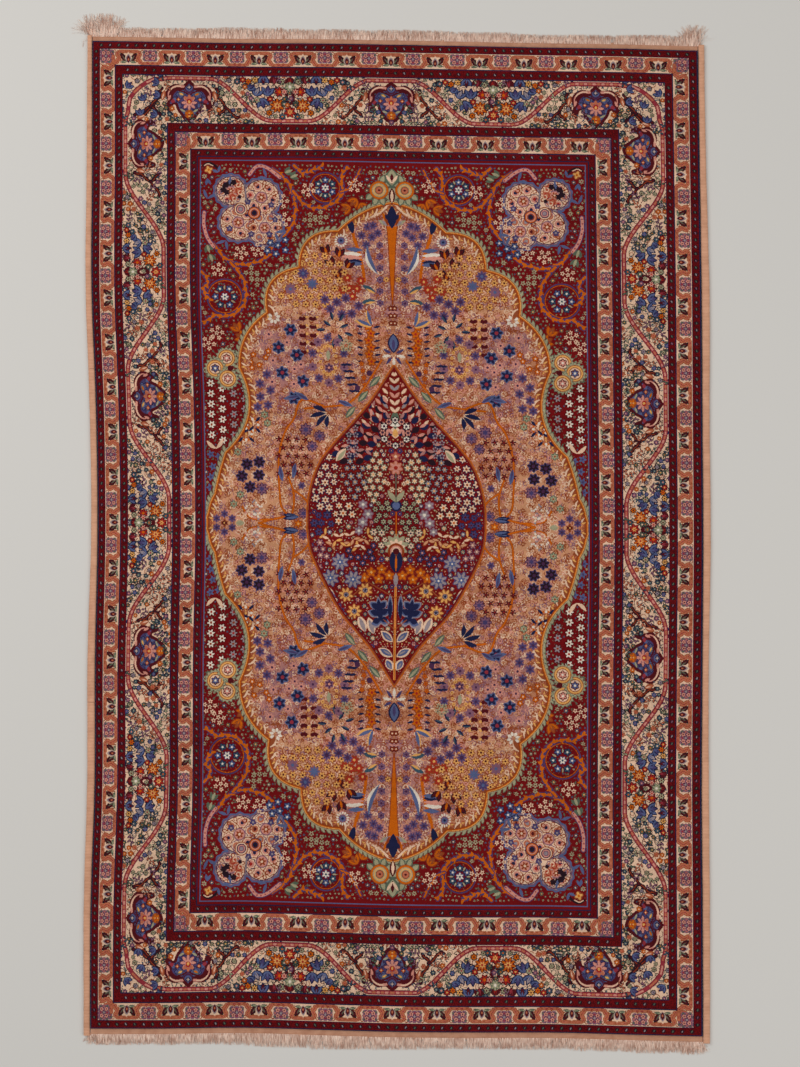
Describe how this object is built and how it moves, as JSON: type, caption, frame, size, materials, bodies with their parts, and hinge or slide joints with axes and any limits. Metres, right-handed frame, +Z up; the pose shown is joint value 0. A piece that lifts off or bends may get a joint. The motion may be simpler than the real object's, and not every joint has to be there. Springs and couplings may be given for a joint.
{
  "type": "persian rug",
  "caption": "Flat hand-knotted rug with a lobed medallion, patterned borders, overcast sides and a short fringe at each end.",
  "frame": {"origin": "on the floor under the middle of the rug's bounding box", "axes": "+Y along the rug's length, +X across it to the right, +Z up out of the pile"},
  "size_m": [1.3166, 2.1936, 0.008],
  "materials": {
    "knotted_wool": "clipped wool pile, matte",
    "overcast_wool": "wrapped wool cord, matte",
    "cotton_warp": "loose cotton warps, matte"
  },
  "bodies": {
    "root": {"rug": "knotted_wool", "edge_cord_left": "overcast_wool", "edge_cord_right": "overcast_wool", "fringe_far": "cotton_warp", "fringe_near": "cotton_warp"}
  },
  "joints": []
}
